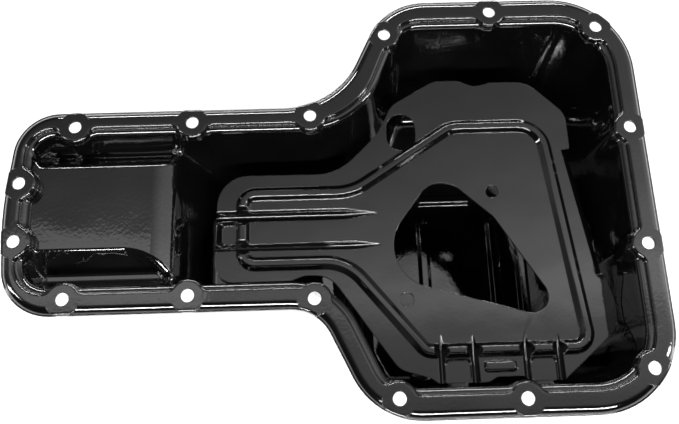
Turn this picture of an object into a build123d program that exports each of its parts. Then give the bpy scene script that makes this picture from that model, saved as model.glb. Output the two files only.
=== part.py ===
from build123d import *
import os
from math import atan2, cos, radians, sin, tan

# Engine oil pan: a deep drawn pan of steel sheet with a pressed baffle plate welded inside it.
# Everything is drawn about the crankshaft's centre line with the gasket face at z = 0, x along the engine.
# The finished pieces are moved at the end, so that the origin lies on the plane that the sump stands on, below the
# middle of the flange.

# Driving dimensions, in millimetres and degrees
SHEET = 1.4
DEPTH = 128.0
LIP_DEPTH = 7.0
WALL_DRAFT = 4.0
STRAIGHT_WALL = 10.0

EDGE_RADIUS = 5.5
PAD_RADIUS = 9.8
PAD_EDGE_RADIUS = 1.9
PAD_BLEND = 5.0
BOLT_HOLE = 7.6
LEDGE_WIDTH = 3.8
LEDGE_DROP = 2.6
LEDGE_RADIUS = 1.6
RIM_RADIUS = 3.0
COLUMN_MARGIN = 0.7
COLUMN_BLEND = 7.0

PLATFORM_DEPTH = 8.0
CHANNEL_DEPTH = 24.0
CHANNEL_EDGE_RADIUS = 3.0
CHANNEL_FOOT_RADIUS = 1.5
SUMP_RADIUS = 9.0
SHELF_DRAFT = 8.0
SHELF_RADIUS = 4.0
RIB_HEIGHT = 2.6
RIB_WIDTH = 9.0

# Radius below which the round of a bend's inner side is left out
LEAST_RADIUS = 0.7

BAFFLE_SHEET = 1.2
BAFFLE_DEPTH = 34.0
PAD_CORNER = 2.5
BEAD_WIDTH = 8.8
BEAD_HEIGHT = 2.8
BEAD_RADIUS = 1.6
PRESS_SLOPE = 43.0
GROOVE_FLOOR = 0.6
PILLOW_HEIGHT = 1.4
FOLD_ANGLE = 50.0

DRAIN_HEIGHT = 24.0
DRAIN_OFFSET = -20.0
DRAIN_HOLE = 14.0
THREAD = 12.0
BOSS_DIAMETER = 26.0
BOSS_LENGTH = 8.0
GASKET_DIAMETER = 22.0
GASKET_THICKNESS = 1.5
PLUG_FLANGE = 23.0
PLUG_FLANGE_THICKNESS = 2.5
HEX_ACROSS_FLATS = 14.0
HEX_HEIGHT = 7.0
PLUG_CHAMFER = 1.0
THREAD_CLEARANCE = 0.1

# Outlines as corners (x, y, radius of the corner), anticlockwise from the rear left
FLANGE_CORNERS = [
    (-188.9, 59.3, 27), (-194.6, -3.4, 200), (-188.9, -65.8, 30), (-9.3, -65.8, 25), (21.0, -129.2, 43),
    (193.9, -129.2, 50), (193.9, 131.5, 50), (38.6, 131.5, 40), (4.5, 59.3, 51),
]
WALL_CORNERS = [
    (-180.0, 44.6, 13), (-180.0, -49.2, 15), (1.8, -49.2, 42), (30.2, -111.7, 20),
    (177.6, -111.7, 32), (177.6, 114.0, 32), (47.4, 114.0, 20), (18.5, 44.6, 52),
]
BOLTS = [
    (-185.2, 14.0), (-185.2, -21.7), (-154.4, 49.1), (-83.3, 50.3), (-11.4, 53.0), (36.8, 107.6),
    (105.1, 122.2), (172.7, 110.0), (184.8, 40.3), (184.8, -33.3), (177.6, -104.9), (105.1, -119.1),
    (34.5, -117.1), (-11.0, -60.2), (-83.3, -56.4), (-154.3, -56.5),
]

# Section of the floor along the engine (x, z, radius of the bend), from the platform to the sump
FLOOR_BENDS = [
    (-98.0, -PLATFORM_DEPTH, 15), (-70.0, -76.0, 22), (6.0, -98.0, 40), (26.0, -DEPTH, 24),
]

# Channels beside the platform: corners of their mouth at the platform, and of their floor
FRONT_CHANNEL = [
    [(-180.0, 45.6, 4), (-180.0, 26.5, 6), (-91.0, 26.5, 6), (-91.0, 45.6, 4)],
    [(-175.0, 42.0, 1.9), (-175.0, 38.0, 1.9), (-99.0, 38.0, 1.9), (-99.0, 42.0, 1.9)],
]
REAR_CHANNEL = [
    [(-180.0, -26.0, 6), (-180.0, -50.2, 4), (-90.0, -50.2, 3), (-110.0, -26.0, 36)],
    [(-175.0, -37.8, 1.9), (-175.0, -41.8, 1.9), (-102.0, -41.8, 1.0), (-106.0, -37.8, 2.0)],
]

# Weld pads of the baffle plate, which are pressed down from it: floor (x, y, length, width) and drop
WELD_PADS = [
    (73.8, -103.0, 14.6, 17.0, 1.0), (125.5, -103.0, 14.6, 17.0, 1.0), (-65.0, -11.8, 9.0, 12.5, 3.8),
]

# Shelves pressed into the pan's wall, one below each weld pad
SHELVES = [
    [(66.8, -95.5, 5.5), (66.8, -130.0, 0), (80.8, -130.0, 0), (80.8, -95.5, 5.5)],
    [(118.5, -95.5, 5.5), (118.5, -130.0, 0), (132.5, -130.0, 0), (132.5, -95.5, 5.5)],
    [(-76.0, 3.0, 6), (-76.0, -70.0, 0), (-60.5, -70.0, 0), (-60.5, 3.0, 6)],
]

# Ribs of the sump floor: middle (x, y), length, and turn about the vertical
RIBS = [(70.0, -22.0, 84.0, 90), (123.0, -22.0, 84.0, 90), (143.0, -22.0, 84.0, 90), (88.0, 36.0, 46.0, 0)]

# Baffle plate
BAFFLE_CORNERS = [
    (-72.0, 27.0, 20), (-74.0, -43.0, 12), (-26.0, -43.0, 10), (-18.0, -40.0, 10), (-1.9, -40.0, 18),
    (38.5, -99.0, 14), (57.0, -104.5, 6), (61.5, -107.8, 3), (92.0, -107.8, 5), (97.0, -104.8, 5),
    (113.0, -104.8, 5), (118.0, -107.8, 5), (137.5, -107.8, 3), (142.0, -104.0, 5), (174.0, -77.5, 14),
    (174.0, -62.0, 8), (170.2, -46.0, 8), (157.4, 39.0, 2), (158.0, 41.5, 2),
    (158.0, 65.0, 14), (134.5, 88.8, 20), (110.0, 89.2, 8), (99.0, 86.2, 10), (87.5, 91.0, 8),
    (71.5, 91.0, 14), (42.0, 74.0, 16), (33.0, 55.0, 40), (5.0, 26.6, 35),
]
# Loop of the stiffening bead, at the middle of its width
BEAD_CORNERS = [
    (-56.0, 14.0, 8), (-56.0, -31.8, 8), (9.1, -31.8, 30), (55.5, -88.5, 8), (155.0, -88.5, 9),
    (139.6, 57.0, 17), (80.0, 57.0, 18), (14.0, 14.0, 35),
]

# Round corners (x, y, radius) that the drop-shaped pickup opening is stretched round
PICKUP_OPENING = [(71.5, 1.5, 17.0), (93.0, -13.5, 13.5), (122.5, -56.5, 10.5), (66.0, -23.0, 27.0)]
SLOT = (47.5, 54.5, 25.5, 19.0)
PILOT_HOLES = [(104.0, 11.7, 4.0), (45.3, -56.5, 4.3)]

# Raised pillow between the two side weld pads
PILLOW = (99.3, -98.6, 20.0, 7.0)

# Line beside the bead that the plate's edge is folded down along, and more than the width of what is folded
FOLD_LINE = [(152.2, 39.2), (164.7, -44.5)]
FOLD_REACH = 16.0

# Grooves: start (x, y), direction, depth there, length and depth of the straight run, and length to the run-out
GROOVES = [
    (-76.0, -0.4, 0, 3.7, 84.0, 3.7, 106.0), (-76.0, -21.0, 0, 1.8, 92.0, 2.6, 107.0),
    (64.2, -112.0, 90, 2.0, 24.0, 2.0, 34.0), (84.0, -112.0, 90, 2.6, 24.0, 2.2, 32.0),
    (115.6, -112.0, 90, 2.4, 24.0, 2.2, 34.0), (135.6, -112.0, 90, 2.4, 24.0, 2.0, 32.0),
]


def outline(corners):
    points = [(x, y) for x, y, radius in corners]
    radii = [radius for x, y, radius in corners]
    return make_face(FilletPolyline(*points, radius=radii, close=True))


def rounded(solid, edges, radius):
    """Round these edges, unless the radius that is left on this side of the sheet is next to nothing."""
    return fillet(edges, radius) if radius > LEAST_RADIUS else solid


def grown(face, amount):
    return offset(face, amount=amount) if amount else face


def prism(face, low, high):
    return extrude(Pos(0, 0, low) * face, amount=high - low)


def edges_at(solid, height):
    """Edges that lie wholly in the level plane at this height."""
    return solid.edges().filter_by_position(Axis.Z, height - 1e-4, height + 1e-4)


def notched(face, radius, blend):
    """The outline with a round notch at each bolt. Shrinking and growing it by the blend rounds the tips."""
    for x, y in BOLTS:
        face = face - Pos(x, y) * Circle(radius)
    return grown(grown(face, -blend), blend)


flange_outline = outline(FLANGE_CORNERS)
wall_outline = outline(WALL_CORNERS)
ledge_outline = notched(grown(wall_outline, LEDGE_WIDTH), PAD_RADIUS, PAD_BLEND)
column_outline = notched(wall_outline, PAD_RADIUS + COLUMN_MARGIN, COLUMN_BLEND)

# Levels that lie clear above and clear below everything, and a length by which forms that are joined overlap
ABOVE = 10.0
BELOW = -DEPTH - 20.0
OVERLAP = 1.0

# Levels clear above and clear below the baffle plate
PLATE_TOP = -BAFFLE_DEPTH + 10.0
PLATE_FOOT = -BAFFLE_DEPTH - 14.0

draft_slope = tan(radians(WALL_DRAFT))
bend_x, bend_z, bend_radius = FLOOR_BENDS[0]
fall = atan2(bend_z - FLOOR_BENDS[1][1], FLOOR_BENDS[1][0] - bend_x)
bend_start = bend_x - bend_radius * tan(fall / 2)
press_lean = tan(radians(45 - PRESS_SLOPE / 2))

# The drain's axis is square to the drafted right-hand wall, with its zero on the wall's inner face
wall_thickness = SHEET * cos(radians(WALL_DRAFT))
drain_x = WALL_CORNERS[4][0] - (DEPTH - DRAIN_HEIGHT - STRAIGHT_WALL) * draft_slope
drain_direction = (cos(radians(WALL_DRAFT)), 0, -sin(radians(WALL_DRAFT)))
drain_axis = Plane(origin=(drain_x, DRAIN_OFFSET, DRAIN_HEIGHT - DEPTH), x_dir=(0, 1, 0), z_dir=drain_direction)
thread_bore = THREAD + 2 * THREAD_CLEARANCE


# Every surface of the sheet is made twice: with inset 0 for its upper face, and with the sheet's thickness for its
# lower face. The sheet is what lies between the two.


def deep_room(inset):
    """The sump and the room below the narrow part, with drafted walls and a round foot."""
    right = FLANGE_CORNERS[5][0]
    left = bend_start - OVERLAP
    corners = [(left, ABOVE, 0), (left, bend_z, 0)] + FLOOR_BENDS + [(right, -DEPTH, 0), (right, ABOVE, 0)]
    side = outline(corners)
    if inset:
        side = offset(side, amount=inset, kind=Kind.INTERSECTION)
    drafted = grown(wall_outline, (STRAIGHT_WALL + OVERLAP) * draft_slope + inset)
    room = extrude(Pos(0, 0, OVERLAP) * drafted, amount=BELOW, taper=WALL_DRAFT)
    room &= extrude(Plane.XZ * side, amount=200, both=True)
    foot = room.edges().filter_by(lambda edge: edge.bounding_box().max.Z < bend_z - inset + 0.01)
    across = foot.filter_by(Axis.Y).sort_by(Axis.X)[:-1]
    return fillet(foot - across, SUMP_RADIUS + inset)


def channel(corners, inset):
    mouth, floor = [grown(outline(ring), inset) for ring in corners]
    mouth_height = -PLATFORM_DEPTH - inset
    floor_height = -CHANNEL_DEPTH - inset
    groove = loft([Pos(0, 0, mouth_height) * mouth, Pos(0, 0, floor_height) * floor], ruled=True)
    groove = fillet(edges_at(groove, floor_height), CHANNEL_FOOT_RADIUS + inset)
    return groove + prism(mouth, mouth_height, ABOVE)


def tray(inset):
    """The shallow room above the platform, with its two channels."""
    left = FLANGE_CORNERS[1][0]
    width = 2 * FLANGE_CORNERS[5][0]
    area = Pos(bend_start, 0) * Rectangle(bend_start - left, width, align=(Align.MAX, Align.CENTER))
    room = prism(area, -PLATFORM_DEPTH - inset, ABOVE)
    room += channel(FRONT_CHANNEL, inset)
    room += channel(REAR_CHANNEL, inset)
    return room


def shelf(corners, drop, inset):
    height = -BAFFLE_DEPTH - drop - BAFFLE_SHEET - inset
    top = Pos(0, 0, height) * grown(outline(corners), -inset)
    block = extrude(top, amount=BELOW - height, taper=-SHELF_DRAFT)
    return fillet(edges_at(block, height), SHELF_RADIUS - inset)


def rib(place, inset):
    x, y, length, turn = place
    foot = SlotOverall(length, RIB_WIDTH - 2 * inset * press_lean)
    return extrude(Pos(x, y, -DEPTH - inset) * Rot(0, 0, turn) * foot, amount=RIB_HEIGHT, taper=PRESS_SLOPE)


def cavity(inset):
    """All of the room inside the pan's walls, above its floors."""
    room = deep_room(inset) + tray(inset)
    along = edges_at(room, -PLATFORM_DEPTH - inset).filter_by(Axis.X)
    platform_sides = along.sort_by(lambda edge: abs(edge.center().Y))[:2]
    room = fillet(platform_sides, CHANNEL_EDGE_RADIUS - inset)
    room &= prism(grown(column_outline, inset), BELOW, -LIP_DEPTH)
    for corners, pad in zip(SHELVES, WELD_PADS):
        room -= shelf(corners, pad[-1], inset)
    for place in RIBS:
        room -= rib(place, inset)
    return room


def ledge_level(inset):
    """The flange down at its inner ledge, rounded over into the wall."""
    top = -LEDGE_DROP - inset
    ring = prism(grown(flange_outline, -inset) - grown(column_outline, inset), -LIP_DEPTH, top)
    rim = ring.faces().sort_by(Axis.Z)[-1].inner_wires()[0].edges()
    return fillet(rim, RIM_RADIUS - inset)


def gasket_level(inset):
    """The raised flat of the flange, rounded down at its outer edge and left flat round each bolt."""
    edge = grown(flange_outline, -inset)
    band = prism(edge, -LIP_DEPTH, -inset)
    curved = fillet(edges_at(band, -inset), EDGE_RADIUS - inset)
    flat = rounded(band, edges_at(band, -inset), PAD_EDGE_RADIUS - inset)
    pads = [Pos(x, y) * Circle(PAD_RADIUS - inset) for x, y in BOLTS]
    level = curved + (flat & prism(Sketch() + pads, -LIP_DEPTH, ABOVE))
    level -= prism(grown(ledge_outline, inset), -LIP_DEPTH, ABOVE)
    step = level.faces().sort_by(Axis.Z)[-1].inner_wires()[0].edges()
    return rounded(level, step, LEDGE_RADIUS - inset)


def oil_pan():
    flange = ledge_level(0) + gasket_level(0) - ledge_level(SHEET) - gasket_level(SHEET)
    pan = flange + (cavity(SHEET) - cavity(0))
    for x, y in BOLTS:
        pan -= prism(Pos(x, y) * Circle(BOLT_HOLE / 2), -LIP_DEPTH, ABOVE)
    return pan - drain_axis * Cylinder(DRAIN_HOLE / 2, 4 * SHEET)


def raised(foot, level, height, inset):
    """A form that is pressed up from the plate by this height. The plate's lower face follows inside it."""
    form = extrude(Pos(0, 0, level) * grown(foot, -inset * press_lean), amount=height, taper=PRESS_SLOPE)
    return rounded(form, edges_at(form, level + height), BEAD_RADIUS - inset)


def bead(level, inset):
    loop = outline(BEAD_CORNERS)
    half = BEAD_WIDTH / 2 - inset * press_lean
    ring = extrude(Pos(0, 0, level) * grown(loop, half), amount=BEAD_HEIGHT, taper=PRESS_SLOPE)
    ring -= extrude(Pos(0, 0, level) * grown(loop, -half), amount=BEAD_HEIGHT, taper=-PRESS_SLOPE)
    return rounded(ring, edges_at(ring, level + BEAD_HEIGHT), BEAD_RADIUS - inset)


def lowered(floor, drop, level, inset):
    """Room of a weld pad, which is pressed down to its floor. It is carried on upwards, clear of the plate."""
    bottom = Pos(0, 0, level - drop) * grown(floor, inset * press_lean)
    room = extrude(bottom, amount=drop + OVERLAP, taper=-PRESS_SLOPE)
    return fillet(edges_at(room, level - drop), BEAD_RADIUS - BAFFLE_SHEET + inset)


def groove_section(distance, depth, level, inset):
    """Trapezium across a groove at this distance along it, widening upwards to clear above the bead."""
    half = GROOVE_FLOOR / 2 + inset * press_lean
    rise = depth + BEAD_HEIGHT + OVERLAP
    top_half = half + rise * tan(radians(PRESS_SLOPE))
    corners = [(-half, 0), (half, 0), (top_half, rise), (-top_half, rise)]
    lane = Plane(origin=(distance, 0, level - depth), x_dir=(0, 1, 0), z_dir=(1, 0, 0))
    return lane * make_face(Polyline(*corners, close=True))


def groove(place, level, inset):
    """A groove that starts outside the plate's edge, crosses the bead and rises to nothing inside it."""
    x, y, turn, start_depth, length, depth, run_out = place
    start = groove_section(0, start_depth, level, inset)
    middle = groove_section(length, depth, level, inset)
    end = groove_section(run_out, 0, level, inset)
    return Pos(x, y) * Rot(0, 0, turn) * (loft([start, middle], ruled=True) + loft([middle, end], ruled=True))


def fold(level, inset):
    """Room above the edge that is folded down beside the bead."""
    start, end = [Vector(x, y, level) for x, y in FOLD_LINE]
    along = end - start
    lane = Plane(origin=start, x_dir=along.cross(Vector(0, 0, -1)), z_dir=along)
    near = -inset * tan(radians(FOLD_ANGLE / 2))
    far = near + FOLD_REACH
    foot = -FOLD_REACH * tan(radians(FOLD_ANGLE))
    section = Polyline((near, 0), (far, foot), (far, FOLD_REACH), (near, FOLD_REACH), close=True)
    return extrude(lane * make_face(section), amount=along.length)


def baffle_side(inset):
    """Everything below the plate's upper face (inset 0) or below its lower face (inset one thickness)."""
    level = -BAFFLE_DEPTH - inset
    block = prism(outline(BAFFLE_CORNERS), PLATE_FOOT - inset, level) - fold(level, inset)
    block += bead(level, inset)
    x, y, length, width = PILLOW
    block += raised(Pos(x, y) * RectangleRounded(length, width, PAD_CORNER), level, PILLOW_HEIGHT, inset)
    for x, y, length, width, drop in WELD_PADS:
        block -= lowered(Pos(x, y) * RectangleRounded(length, width, PAD_CORNER), drop, level, inset)
    for place in GROOVES:
        block -= groove(place, level, inset)
    return block


def baffle_plate():
    plate = baffle_side(0) - baffle_side(BAFFLE_SHEET)
    rounds = [Pos(x, y) * Circle(radius).edge() for x, y, radius in PICKUP_OPENING]
    x, y, length, width = SLOT
    openings = [make_hull(rounds), Pos(x, y) * Rot(0, 0, 90) * SlotOverall(length, width)]
    openings += [Pos(x, y) * Circle(radius) for x, y, radius in PILOT_HOLES]
    for opening in openings:
        plate -= prism(opening, PLATE_FOOT, PLATE_TOP)
    return plate


def drain_boss():
    body = extrude(Circle(BOSS_DIAMETER / 2) - Circle(thread_bore / 2), amount=-BOSS_LENGTH)
    return drain_axis * chamfer(body.edges().group_by(Axis.Z)[0], PLUG_CHAMFER)


def drain_gasket():
    ring = Circle(GASKET_DIAMETER / 2) - Circle(thread_bore / 2)
    return drain_axis * Pos(0, 0, wall_thickness) * extrude(ring, amount=GASKET_THICKNESS)


def drain_plug():
    """Hexagon plug with a flange. Its shank fills the boss and ends a little beyond it."""
    seat = wall_thickness + GASKET_THICKNESS
    shank_length = seat + BOSS_LENGTH + 2 * PLUG_CHAMFER
    shank = Pos(0, 0, seat) * extrude(Circle(THREAD / 2), amount=-shank_length)
    shank = chamfer(shank.edges().group_by(Axis.Z)[0], PLUG_CHAMFER)
    flange = Pos(0, 0, seat) * extrude(Circle(PLUG_FLANGE / 2), amount=PLUG_FLANGE_THICKNESS)
    flange = chamfer(flange.edges().group_by(Axis.Z)[-1], PLUG_CHAMFER)
    head_height = seat + PLUG_FLANGE_THICKNESS + HEX_HEIGHT
    hexagon = Pos(0, 0, seat) * RegularPolygon(HEX_ACROSS_FLATS / 2, 6, major_radius=False)
    head = extrude(hexagon, amount=head_height - seat)
    return drain_axis * (shank + flange + head)


if __name__ == "__main__":
    pan = oil_pan()
    box = pan.bounding_box()
    to_rest = Pos(-box.center().X, -box.center().Y, -box.min.Z)
    pieces = {
        "oil_pan": pan,
        "baffle_plate": baffle_plate(),
        "drain_boss": drain_boss(),
        "drain_gasket": drain_gasket(),
        "drain_plug": drain_plug(),
    }
    os.makedirs("parts", exist_ok=True)
    for name, piece in pieces.items():
        export_step(to_rest * piece, f"parts/{name}.step")
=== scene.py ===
import math

import bpy
from mathutils import Matrix, Vector

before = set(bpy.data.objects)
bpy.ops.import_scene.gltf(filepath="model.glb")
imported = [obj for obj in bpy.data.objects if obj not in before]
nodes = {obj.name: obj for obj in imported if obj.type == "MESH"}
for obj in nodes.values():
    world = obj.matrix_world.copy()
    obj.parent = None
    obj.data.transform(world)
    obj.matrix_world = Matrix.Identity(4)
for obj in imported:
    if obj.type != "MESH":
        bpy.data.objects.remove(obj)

scene = bpy.context.scene
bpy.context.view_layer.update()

# Camera: its place, its three axes and its lens, from the photograph's perspective of the flange
CAMERA_PLACE = (-0.00307, -0.13385, 0.5414)
CAMERA_RIGHT = (0.99946, -0.03160, 0.00948)
CAMERA_UP = (0.02755, 0.95747, 0.28720)
CAMERA_BACK = (-0.01815, -0.28679, 0.95782)
CAMERA_LENS = 38.7
CAMERA_SENSOR = 36.0

# Lamps: name, centre, target, size along x and y (m), power (W)
# Four narrow ones draw the bright lines along the bends. The patch lights the platform's near side.
MIDDLE = (0.0, 0.0, 0.1)
LAMPS = [
    ("near_box", (0.1, -1.25, 1.35), MIDDLE, (1.8, 0.18), 52.0),
    ("far_box", (0.0, 1.5, 1.0), MIDDLE, (1.6, 0.12), 24.0),
    ("left_box", (-1.5, -0.2, 1.1), MIDDLE, (0.12, 1.0), 8.0),
    ("right_box", (1.5, -0.2, 1.1), MIDDLE, (0.12, 1.0), 8.0),
    ("left_patch", (-0.54, 0.21, 1.34), (-0.54, 0.21, 0.0), (0.5, 0.22), 0.24),
]

# Overhead brightness from the near side (0) through straight up (0.5) to the far side (1)
WORLD_FADE = [
    (0.0, 0.0), (0.35, 0.0), (0.45, 0.1), (0.515, 0.4), (0.56, 0.5), (0.58, 0.9), (0.59, 1.0), (0.605, 0.75),
    (0.63, 0.62), (0.65, 0.5), (0.705, 0.32), (0.75, 0.28), (0.875, 0.08), (1.0, 0.0),
]
# Strength of the overhead light at the left and at the right, and the span of directions from left to right
WORLD_SIDES = (0.3, 1.8)
WORLD_SPAN = (-0.6, 0.6)
# Heights of a direction between which the white horizon gives way to the overhead light
HORIZON_BAND = (0.05, 0.15)

FLOOR_SIZE = 40.0
FLOOR_TONE = 0.45
FLOOR_ROUGHNESS = 0.9
FLOOR_GLOW = 0.7

# Black coat: tone and roughness of its darkest and lightest patches, and the clear layer on top
COAT_TONES = [(0.3, 0.002), (0.7, 0.0035)]
COAT_ROUGHNESS = [(0.3, 0.05), (0.7, 0.08)]
COAT_INDEX = 1.5
TOP_LAYER = 1.0
TOP_LAYER_ROUGHNESS = 0.04
# Scale, detail and roughness of the patches, the waves of the sheet and the fine grain
PATCHES = (35.0, 3.0, 0.55)
WAVE_DETAIL = (1.5, 0.45)
GRAIN = (480.0, 2.0, 0.5)
# Rounding of the shading at bends and cut edges, less than the sheet's thickness
BEND_RADIUS = 0.0008
BEND_SAMPLES = 6

# Edges that turn by more than this (degrees) stay sharp
CREASE_ANGLE = 28.0
WELD_DISTANCE = 0.00001
FACE_WEIGHT = 50


def add_camera():
    data = bpy.data.cameras.new("camera")
    data.lens = CAMERA_LENS
    data.sensor_width = CAMERA_SENSOR
    camera = bpy.data.objects.new("camera", data)
    turn = Matrix((CAMERA_RIGHT, CAMERA_UP, CAMERA_BACK)).transposed()
    camera.matrix_world = Matrix.Translation(CAMERA_PLACE) @ turn.to_4x4()
    scene.collection.objects.link(camera)
    scene.camera = camera


def add_lamp(name, place, target, size, power):
    data = bpy.data.lights.new(name, "AREA")
    data.shape = "RECTANGLE"
    data.size, data.size_y = size
    data.energy = power
    lamp = bpy.data.objects.new(name, data)
    aim = Vector(target) - Vector(place)
    lamp.rotation_euler = aim.to_track_quat("-Z", "Y").to_euler()
    lamp.location = place
    scene.collection.objects.link(lamp)


def grey(value):
    return (value, value, value, 1.0)


def ramp(tree, source, stops):
    """Colour ramp over the source. Stops are (position, colour)."""
    made = tree.nodes.new("ShaderNodeValToRGB")
    elements = made.color_ramp.elements
    while len(elements) < len(stops):
        elements.new(0.5)
    for element, (position, colour) in zip(elements, stops):
        element.position = position
        element.color = colour
    tree.links.new(source, made.inputs["Fac"])
    return made.outputs["Color"]


def grey_ramp(tree, source, stops):
    return ramp(tree, source, [(position, grey(value)) for position, value in stops])


def mapped(tree, source, span, result):
    """Maps this span of the source's values to the result's two values."""
    made = tree.nodes.new("ShaderNodeMapRange")
    made.inputs["From Min"].default_value, made.inputs["From Max"].default_value = span
    made.inputs["To Min"].default_value, made.inputs["To Max"].default_value = result
    tree.links.new(source, made.inputs["Value"])
    return made.outputs["Result"]


def larger(tree, first, second):
    made = tree.nodes.new("ShaderNodeMath")
    made.operation = "MAXIMUM"
    tree.links.new(first, made.inputs[0])
    tree.links.new(second, made.inputs[1])
    return made.outputs[0]


def noise(tree, coordinates, scale, detail, roughness):
    made = tree.nodes.new("ShaderNodeTexNoise")
    made.inputs["Scale"].default_value = scale
    made.inputs["Detail"].default_value = detail
    made.inputs["Roughness"].default_value = roughness
    tree.links.new(coordinates, made.inputs["Vector"])
    return made.outputs["Fac"]


def bump(tree, height, depth, normal):
    """Tilts the normal by a texture that is this deep."""
    made = tree.nodes.new("ShaderNodeBump")
    made.inputs["Distance"].default_value = depth
    made.inputs["Strength"].default_value = 1.0
    tree.links.new(height, made.inputs["Height"])
    tree.links.new(normal, made.inputs["Normal"])
    return made.outputs["Normal"]


def new_material(name):
    """A material with its node tree, its shader and the object's coordinates."""
    material = bpy.data.materials.new(name)
    material.use_nodes = True
    tree = material.node_tree
    coordinates = tree.nodes.new("ShaderNodeTexCoord").outputs["Object"]
    return material, tree, tree.nodes["Principled BSDF"], coordinates


def add_world():
    """Soft overhead light, brightest a little beyond straight up and to the right, and a white horizon."""
    world = bpy.data.worlds.new("studio")
    world.use_nodes = True
    tree = world.node_tree
    overhead = tree.nodes["Background"]
    coordinates = tree.nodes.new("ShaderNodeTexCoord")
    split = tree.nodes.new("ShaderNodeSeparateXYZ")
    tree.links.new(coordinates.outputs["Generated"], split.inputs[0])
    along = mapped(tree, split.outputs["Y"], (-1.0, 1.0), (0.0, 1.0))
    tree.links.new(grey_ramp(tree, along, WORLD_FADE), overhead.inputs["Color"])
    side = mapped(tree, split.outputs["X"], WORLD_SPAN, WORLD_SIDES)
    tree.links.new(side, overhead.inputs["Strength"])

    horizon = mapped(tree, split.outputs["Z"], HORIZON_BAND, (1.0, 0.0))
    path = tree.nodes.new("ShaderNodeLightPath")
    white = tree.nodes.new("ShaderNodeBackground")
    white.inputs["Color"].default_value = grey(1.0)
    mix = tree.nodes.new("ShaderNodeMixShader")
    tree.links.new(larger(tree, horizon, path.outputs["Is Camera Ray"]), mix.inputs["Fac"])
    tree.links.new(overhead.outputs[0], mix.inputs[1])
    tree.links.new(white.outputs[0], mix.inputs[2])
    tree.links.new(mix.outputs[0], tree.nodes["World Output"].inputs["Surface"])
    scene.world = world


def add_floor():
    """Pale floor that keeps the shadow, and shows white to the camera and in reflections."""
    bpy.ops.mesh.primitive_plane_add(size=FLOOR_SIZE, location=(0, 0, 0))
    floor = bpy.context.object
    floor.name = "floor"
    material = bpy.data.materials.new("floor")
    material.use_nodes = True
    tree = material.node_tree
    shader = tree.nodes["Principled BSDF"]
    shader.inputs["Base Color"].default_value = grey(FLOOR_TONE)
    shader.inputs["Roughness"].default_value = FLOOR_ROUGHNESS
    shader.inputs["Specular IOR Level"].default_value = 0.0

    path = tree.nodes.new("ShaderNodeLightPath")
    seen = path.outputs["Is Camera Ray"]
    for kind in ("Is Glossy Ray", "Is Transmission Ray"):
        seen = larger(tree, seen, path.outputs[kind])
    glow = tree.nodes.new("ShaderNodeEmission")
    glow.inputs["Color"].default_value = grey(1.0)
    tree.links.new(mapped(tree, seen, (0.0, 1.0), (0.0, FLOOR_GLOW)), glow.inputs["Strength"])
    both = tree.nodes.new("ShaderNodeAddShader")
    tree.links.new(shader.outputs[0], both.inputs[0])
    tree.links.new(glow.outputs[0], both.inputs[1])
    tree.links.new(both.outputs[0], tree.nodes["Material Output"].inputs["Surface"])
    floor.data.materials.append(material)


def gloss_black(name, wave_depth, wave_scale, grain_depth):
    """Dipped black coat on sheet steel: glossy, with slight waves and a fine grain."""
    material, tree, shader, coordinates = new_material(name)
    patches = noise(tree, coordinates, *PATCHES)
    tree.links.new(grey_ramp(tree, patches, COAT_TONES), shader.inputs["Base Color"])
    tree.links.new(grey_ramp(tree, patches, COAT_ROUGHNESS), shader.inputs["Roughness"])
    shader.inputs["IOR"].default_value = COAT_INDEX
    shader.inputs["Coat Weight"].default_value = TOP_LAYER
    shader.inputs["Coat Roughness"].default_value = TOP_LAYER_ROUGHNESS

    bends = tree.nodes.new("ShaderNodeBevel")
    bends.samples = BEND_SAMPLES
    bends.inputs["Radius"].default_value = BEND_RADIUS
    waves = noise(tree, coordinates, wave_scale, *WAVE_DETAIL)
    grain = noise(tree, coordinates, *GRAIN)
    normal = bump(tree, waves, wave_depth, bends.outputs["Normal"])
    normal = bump(tree, grain, grain_depth, normal)
    tree.links.new(normal, shader.inputs["Normal"])
    tree.links.new(normal, shader.inputs["Coat Normal"])
    return material


def bare_metal(name, cloud_scale, cloud_detail, colours, roughness):
    """Metal whose colour and roughness change faintly from place to place."""
    material, tree, shader, coordinates = new_material(name)
    clouds = noise(tree, coordinates, cloud_scale, cloud_detail, 0.6)
    tree.links.new(ramp(tree, clouds, colours), shader.inputs["Base Color"])
    tree.links.new(grey_ramp(tree, clouds, roughness), shader.inputs["Roughness"])
    shader.inputs["Metallic"].default_value = 1.0
    return material


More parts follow.
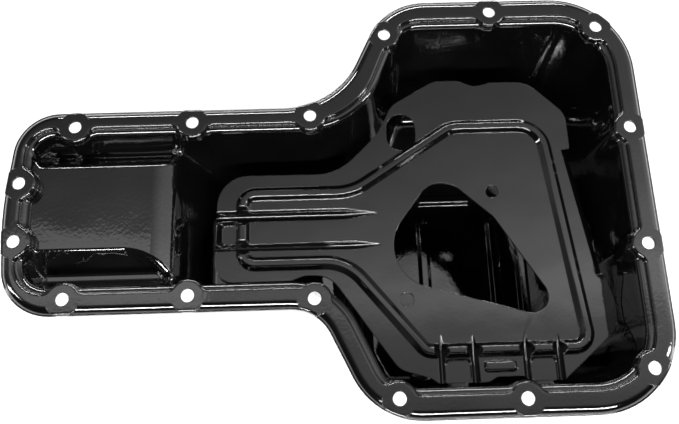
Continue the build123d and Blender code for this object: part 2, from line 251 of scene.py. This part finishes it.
def smooth_shading(target):
    """Rounds the shading over the pressed bends and keeps the cut edges crisp."""
    tree = bpy.data.node_groups.new("smooth_" + target.name, "GeometryNodeTree")
    tree.interface.new_socket("Geometry", in_out="INPUT", socket_type="NodeSocketGeometry")
    tree.interface.new_socket("Geometry", in_out="OUTPUT", socket_type="NodeSocketGeometry")
    start = tree.nodes.new("NodeGroupInput")
    end = tree.nodes.new("NodeGroupOutput")
    plain = tree.nodes.new("GeometryNodeRemoveAttribute")
    plain.inputs["Name"].default_value = "custom_normal"
    weld = tree.nodes.new("GeometryNodeMergeByDistance")
    weld.inputs["Distance"].default_value = WELD_DISTANCE
    angle = tree.nodes.new("GeometryNodeInputMeshEdgeAngle")
    gentle = tree.nodes.new("FunctionNodeCompare")
    gentle.data_type = "FLOAT"
    gentle.operation = "LESS_EQUAL"
    gentle.inputs["B"].default_value = math.radians(CREASE_ANGLE)
    faces = tree.nodes.new("GeometryNodeSetShadeSmooth")
    faces.domain = "FACE"
    edges = tree.nodes.new("GeometryNodeSetShadeSmooth")
    edges.domain = "EDGE"
    tree.links.new(start.outputs[0], plain.inputs["Geometry"])
    tree.links.new(plain.outputs[0], weld.inputs["Geometry"])
    tree.links.new(weld.outputs[0], faces.inputs["Geometry"])
    tree.links.new(faces.outputs[0], edges.inputs["Geometry"])
    tree.links.new(angle.outputs["Unsigned Angle"], gentle.inputs["A"])
    tree.links.new(gentle.outputs["Result"], edges.inputs["Shade Smooth"])
    tree.links.new(edges.outputs[0], end.inputs[0])
    rounding = target.modifiers.new("smooth", "NODES")
    rounding.node_group = tree
    weighted = target.modifiers.new("weighted_normals", "WEIGHTED_NORMAL")
    weighted.mode = "FACE_AREA_WITH_ANGLE"
    weighted.weight = FACE_WEIGHT
    weighted.keep_sharp = True


# The finish of each piece. Depths are in metres, and scales are per metre.
FINISHES = {
    "oil_pan": gloss_black("pan_black", 0.0006, 22.0, 0.00004),
    "baffle_plate": gloss_black("baffle_black", 0.0004, 26.0, 0.000012),
    "drain_boss": gloss_black("boss_black", 0.0001, 60.0, 0.00002),
    "drain_plug": bare_metal(
        "plug_zinc", 220.0, 4.0,
        [(0.0, (0.42, 0.40, 0.30, 1.0)), (1.0, (0.60, 0.57, 0.44, 1.0))], [(0.3, 0.26), (0.7, 0.40)]),
    "drain_gasket": bare_metal(
        "gasket_aluminium", 500.0, 3.0,
        [(0.3, grey(0.55)), (0.7, grey(0.70))], [(0.3, 0.35), (0.7, 0.5)]),
}

scene.view_settings.view_transform = "Standard"
add_camera()
add_world()
add_floor()
for lamp in LAMPS:
    add_lamp(*lamp)
for name, material in FINISHES.items():
    piece = nodes[name]
    piece.data.materials.clear()
    piece.data.materials.append(material)
    smooth_shading(piece)
